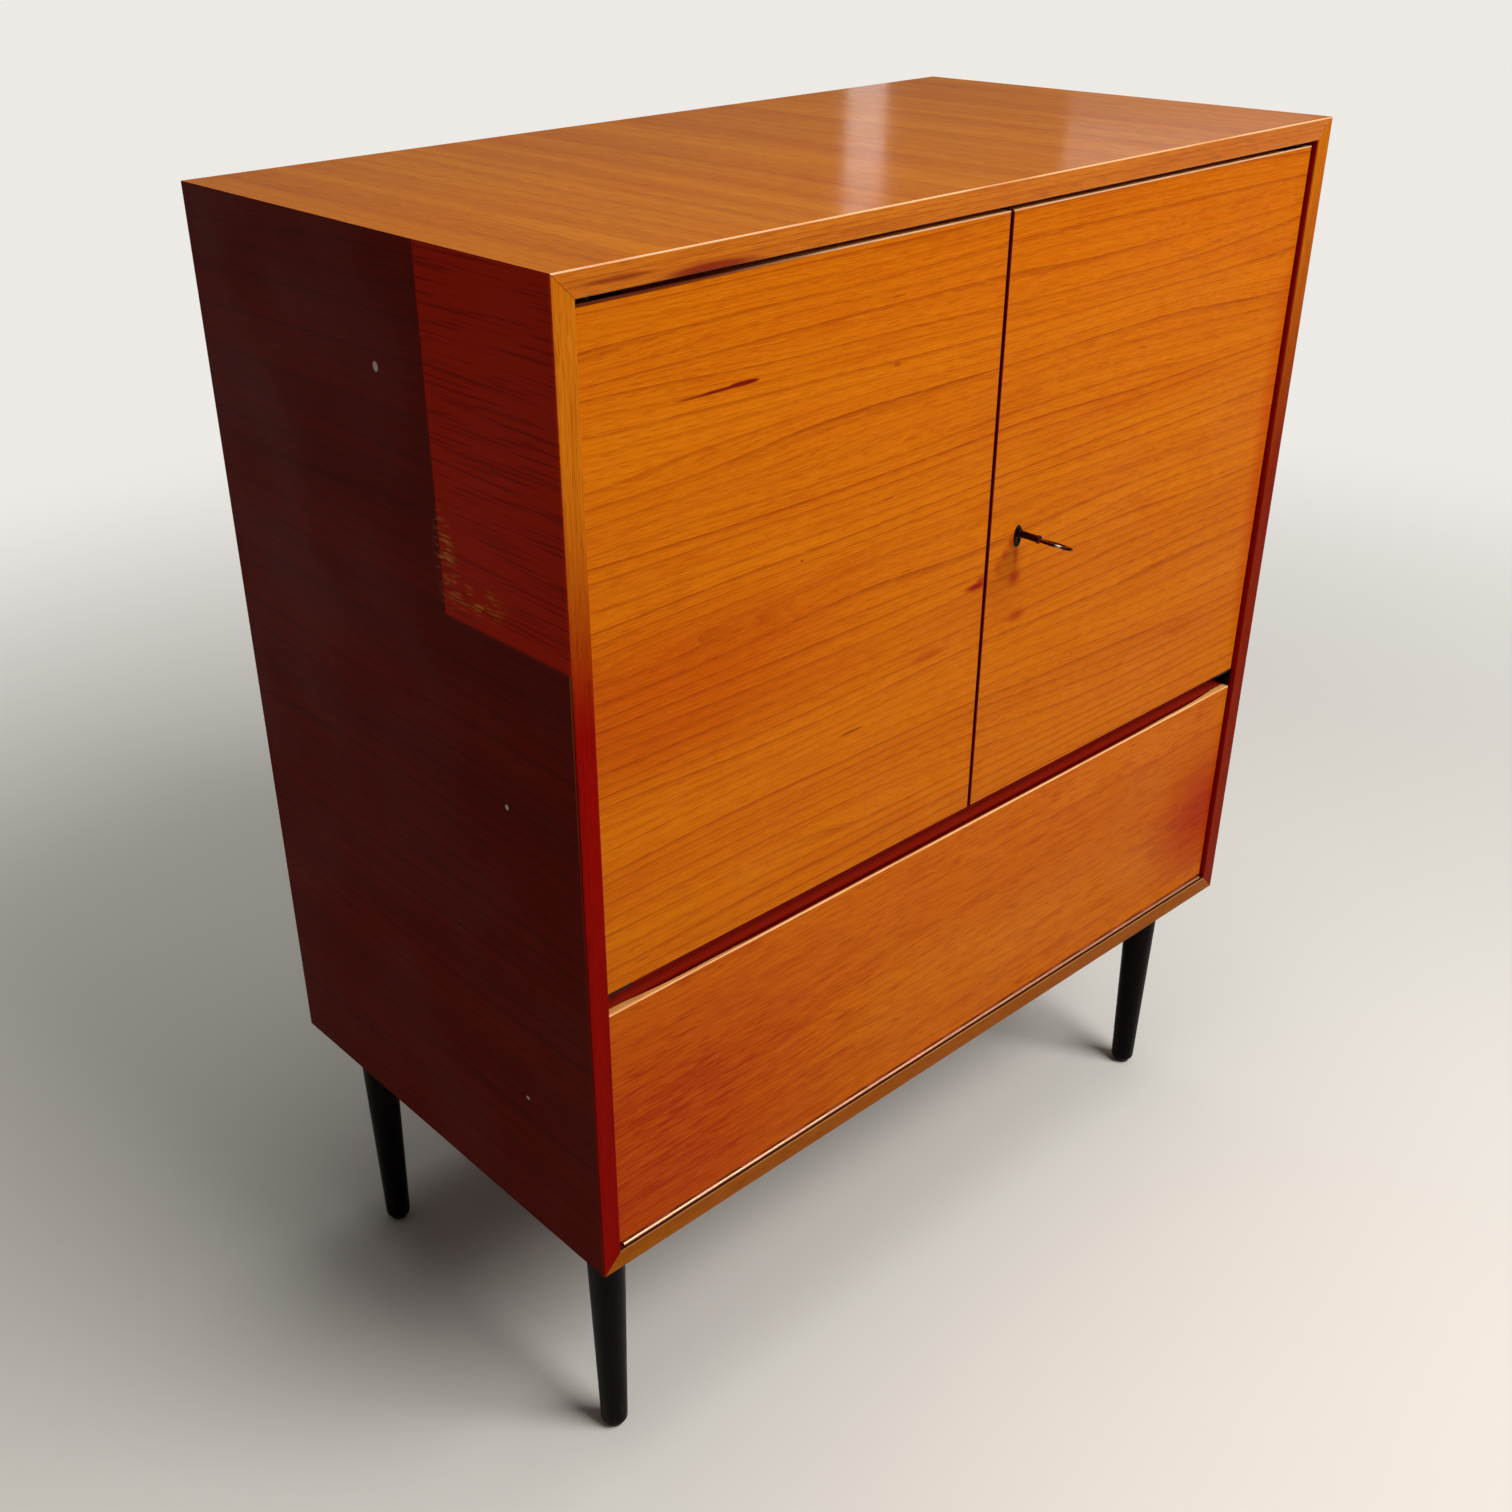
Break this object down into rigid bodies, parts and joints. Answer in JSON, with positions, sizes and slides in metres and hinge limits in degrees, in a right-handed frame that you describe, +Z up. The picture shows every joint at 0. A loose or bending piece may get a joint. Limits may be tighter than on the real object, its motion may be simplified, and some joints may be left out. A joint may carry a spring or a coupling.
{
  "type": "tv cabinet",
  "caption": "Free-standing teak television cabinet on turned tapered legs, with lockable pivoted doors over a drop flap on a piano hinge held by slotted stays.",
  "frame": {"origin": "on the floor, under the middle of the cabinet's bounding box with its key", "axes": "+X to the viewer's right when facing the doors, +Y from the front to the back, +Z up"},
  "size_m": [0.95, 0.562, 1.152],
  "materials": {
    "teak_veneer": "satin lacquered teak veneer",
    "inner_mahogany": "stained and lacquered hardwood",
    "back_hardboard": "brown hardboard, matt",
    "ebonised_beech": "black lacquered beech",
    "black_enamelled_steel": "black stove enamel on sheet steel",
    "lacquered_brass": "lacquered brass",
    "browned_brass": "browned brass",
    "zinc_plated_steel": "zinc plated steel",
    "black_nylon": "black nylon"
  },
  "bodies": {
    "carcass": {"top_panel": "teak_veneer", "bottom_panel": "teak_veneer", "left_side": "teak_veneer", "right_side": "teak_veneer", "back_panel": "back_hardboard", "divider_shelf": "inner_mahogany", "door_stop_rail": "inner_mahogany", "left_top_pivot": "lacquered_brass", "right_top_pivot": "lacquered_brass", "left_bottom_pivot": "black_enamelled_steel", "right_bottom_pivot": "black_enamelled_steel", "leg_front_left": "ebonised_beech", "leg_front_right": "ebonised_beech", "leg_back_left": "ebonised_beech", "leg_back_right": "ebonised_beech", "leg_plate_front_left": "black_enamelled_steel", "leg_plate_front_right": "black_enamelled_steel", "leg_plate_back_left": "black_enamelled_steel", "leg_plate_back_right": "black_enamelled_steel", "glide_front_left": "black_nylon", "glide_front_right": "black_nylon", "glide_back_left": "black_nylon", "glide_back_right": "black_nylon", "hinge_leaf_fixed": "lacquered_brass", "hinge_pin": "zinc_plated_steel", "left_stay_pin": "lacquered_brass", "right_stay_pin": "lacquered_brass", "flap_catch": "black_nylon"},
    "left_door": {"left_door": "teak_veneer", "left_door_top_plate": "lacquered_brass", "left_door_bottom_plate": "lacquered_brass", "lock_keeper": "zinc_plated_steel", "bolt_guide": "lacquered_brass"},
    "right_door": {"right_door": "teak_veneer", "right_door_top_plate": "lacquered_brass", "right_door_bottom_plate": "lacquered_brass", "lock_case": "zinc_plated_steel", "escutcheon": "black_enamelled_steel"},
    "key": {"key": "browned_brass"},
    "lock_bolt": {"lock_bolt": "lacquered_brass"},
    "left_bolt": {"left_bolt": "lacquered_brass"},
    "flap": {"flap": "teak_veneer", "hinge_leaf_flap": "lacquered_brass", "left_stay_bracket": "lacquered_brass", "right_stay_bracket": "lacquered_brass", "catch_plate": "zinc_plated_steel"},
    "left_stay": {"left_stay_arm": "lacquered_brass"},
    "right_stay": {"right_stay_arm": "lacquered_brass"}
  },
  "joints": [
    {"name": "left_door_swing", "type": "hinge", "parent": "carcass", "child": "left_door", "pos_m": [-0.4375, -0.2145, 0.5703], "axis": [0, 0, -1], "range_deg": [0, 105]},
    {"name": "right_door_swing", "type": "hinge", "parent": "carcass", "child": "right_door", "pos_m": [0.4375, -0.2145, 0.5703], "axis": [0, 0, 1], "range_deg": [0, 105]},
    {"name": "flap_drop", "type": "hinge", "parent": "carcass", "child": "flap", "pos_m": [0, -0.2234, 0.2954], "axis": [1, 0, 0], "range_deg": [0, 90]},
    {"name": "left_stay_turn", "type": "hinge", "parent": "flap", "child": "left_stay", "pos_m": [-0.4505, -0.1915, 0.4454], "axis": [1, 0, 0], "range_deg": [-45, 0]},
    {"name": "right_stay_turn", "type": "hinge", "parent": "flap", "child": "right_stay", "pos_m": [0.4505, -0.1915, 0.4454], "axis": [1, 0, 0], "range_deg": [-45, 0]},
    {"name": "key_turn", "type": "hinge", "parent": "right_door", "child": "key", "pos_m": [0.0415, -0.2215, 0.8403], "axis": [0, -1, 0], "range_deg": [0, 180]},
    {"name": "lock_bolt_slide", "type": "slide", "parent": "right_door", "child": "lock_bolt", "axis": [-1, 0, 0], "range_m": [0, 0.01]},
    {"name": "left_bolt_slide", "type": "slide", "parent": "left_door", "child": "left_bolt", "axis": [0, 0, 1], "range_m": [0, 0.012]}
  ],
  "couplings": [
    {"joint": "left_stay_turn", "follows": "flap_drop", "ratio": -0.5},
    {"joint": "right_stay_turn", "follows": "flap_drop", "ratio": -0.5},
    {"joint": "lock_bolt_slide", "follows": "key_turn", "m_per_rad": 0.00318}
  ]
}
